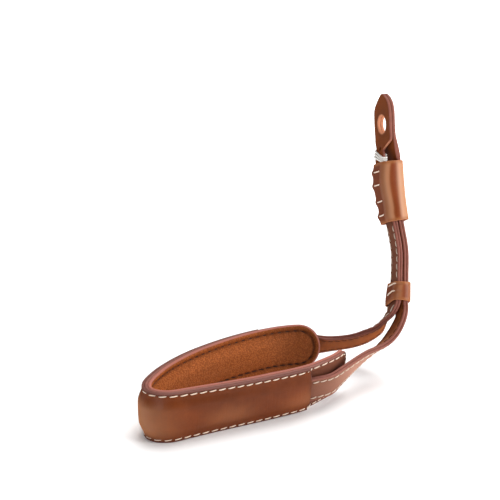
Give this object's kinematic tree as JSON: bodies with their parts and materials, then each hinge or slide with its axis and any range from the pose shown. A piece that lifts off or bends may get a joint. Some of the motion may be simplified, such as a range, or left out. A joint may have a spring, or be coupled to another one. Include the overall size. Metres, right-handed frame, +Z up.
{
  "type": "camera wrist strap",
  "caption": "Leather camera wrist strap: a padded loop on its edge, its narrow strap drawn through a keeper and a stitched sleeve to a flat tab with a round hole.",
  "frame": {"origin": "under the middle of the bounding box, on the surface that the pad's lower edge stands on", "axes": "+Z up from that surface; +X from the bend of the pad towards the keeper and tab; -Y to the front, the side from which the joined ends of the strap are seen rising on the right"},
  "size_m": [0.1274, 0.1126, 0.1377],
  "materials": {
    "cover_leather": "smooth, waxed",
    "base_leather": "smooth",
    "lining_leather": "soft, pebbled",
    "strap_leather": "smooth, painted edges",
    "wrap_leather": "smooth",
    "tab_leather": "smooth",
    "white_cord": "waxed thread"
  },
  "bodies": {
    "root": {"pad_base": "base_leather", "pad_lining": "lining_leather", "pad_cover": "cover_leather", "strap_outer_ply": "strap_leather", "strap_inner_ply": "strap_leather", "keeper": "wrap_leather", "sleeve": "wrap_leather", "flap_left": "tab_leather", "flap_right": "tab_leather", "binding_cord": "white_cord"}
  },
  "joints": []
}
